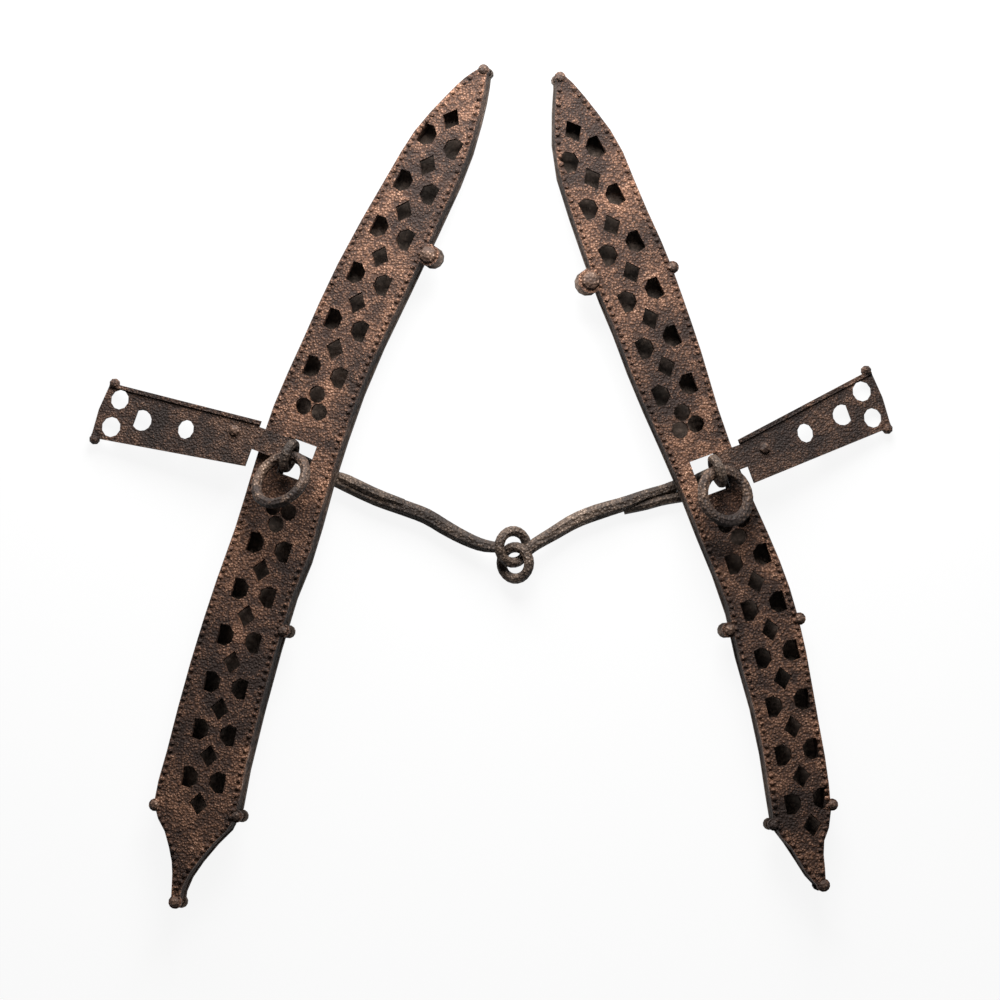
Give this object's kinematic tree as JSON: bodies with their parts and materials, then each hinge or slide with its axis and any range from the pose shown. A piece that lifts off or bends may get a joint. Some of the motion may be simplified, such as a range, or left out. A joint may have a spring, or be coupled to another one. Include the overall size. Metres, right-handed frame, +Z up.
{
  "type": "jointed horse bit with flat cheekpieces",
  "caption": "Iron horse bit: two jointed bars linked in the middle, two curved openwork cheekpieces, strap plates and rein rings.",
  "frame": {"origin": "centre of the bounding box at its base, where the bit lies on a table", "axes": "+X to the viewer's right across the mouth, +Y towards the cheekpieces' upper tips, +Z up from the table"},
  "size_m": [0.2906, 0.3028, 0.0296],
  "materials": {
    "front_iron": "rusted wrought sheet with a tan bloom",
    "back_iron": "dark rusted wrought sheet",
    "edge_iron": "dark rusted edge",
    "rivet_iron": "rusted rivet heads",
    "strap_iron": "rusted sheet",
    "bar_iron": "grey-brown forged bar",
    "ring_iron": "tan rusted round bar"
  },
  "bodies": {
    "left_bar": {"left_mouth_bar": "bar_iron"},
    "left_cheek": {"left_front_plate": "front_iron", "left_back_plate": "back_iron", "left_edge_strip": "edge_iron", "left_rivet_lobe": "rivet_iron", "left_rivet_lower_in": "rivet_iron", "left_rivet_foot_in": "rivet_iron", "left_rivet_foot_out": "rivet_iron", "left_rivet_toe": "rivet_iron", "left_rivet_crown": "rivet_iron"},
    "left_ring": {"left_rein_ring": "ring_iron"},
    "left_strap": {"left_strap_plate": "strap_iron", "left_strap_rivet": "rivet_iron"},
    "right_bar": {"right_mouth_bar": "bar_iron"},
    "right_cheek": {"right_front_plate": "front_iron", "right_back_plate": "back_iron", "right_edge_strip": "edge_iron", "right_rivet_lobe": "rivet_iron", "right_rivet_upper_out": "rivet_iron", "right_rivet_lower_in": "rivet_iron", "right_rivet_lower_out": "rivet_iron", "right_rivet_foot_in": "rivet_iron", "right_rivet_foot_out": "rivet_iron", "right_rivet_toe": "rivet_iron", "right_rivet_crown": "rivet_iron"},
    "right_ring": {"right_rein_ring": "ring_iron"},
    "right_strap": {"right_strap_plate": "strap_iron", "right_strap_rivet": "rivet_iron"}
  },
  "joints": [
    {"name": "centre_link", "type": "hinge", "parent": "left_bar", "child": "right_bar", "pos_m": [0.00831, -0.02433, 0], "axis": [0, 0, 1], "range_deg": [-25, 5]},
    {"name": "left_cheek_fold", "type": "hinge", "parent": "left_bar", "child": "left_cheek", "pos_m": [-0.0689, 0.00971, 0.00763], "axis": [-0.342, -0.9397, 0], "range_deg": [0, 30]},
    {"name": "left_ring_swing", "type": "hinge", "parent": "left_bar", "child": "left_ring", "pos_m": [-0.07208, 0.01129, 0.01644], "axis": [-0.9118, 0.3319, -0.2419], "range_deg": [0, 75]},
    {"name": "left_strap_tilt", "type": "hinge", "parent": "left_cheek", "child": "left_strap", "pos_m": [-0.07861, 0.01324, 0.00835], "axis": [0.342, 0.9397, 0], "range_deg": [-5, 10]},
    {"name": "right_cheek_fold", "type": "hinge", "parent": "right_bar", "child": "right_cheek", "pos_m": [0.07803, 0.0044, 0.00755], "axis": [-0.3453, 0.9385, 0], "range_deg": [0, 30]},
    {"name": "right_ring_swing", "type": "hinge", "parent": "right_bar", "child": "right_ring", "pos_m": [0.08078, 0.00584, 0.01808], "axis": [-0.9256, -0.3406, 0.1651], "range_deg": [0, 90]},
    {"name": "right_strap_tilt", "type": "hinge", "parent": "right_cheek", "child": "right_strap", "pos_m": [0.08615, 0.00739, 0.00934], "axis": [0.3453, -0.9385, 0], "range_deg": [-10, 12]}
  ]
}
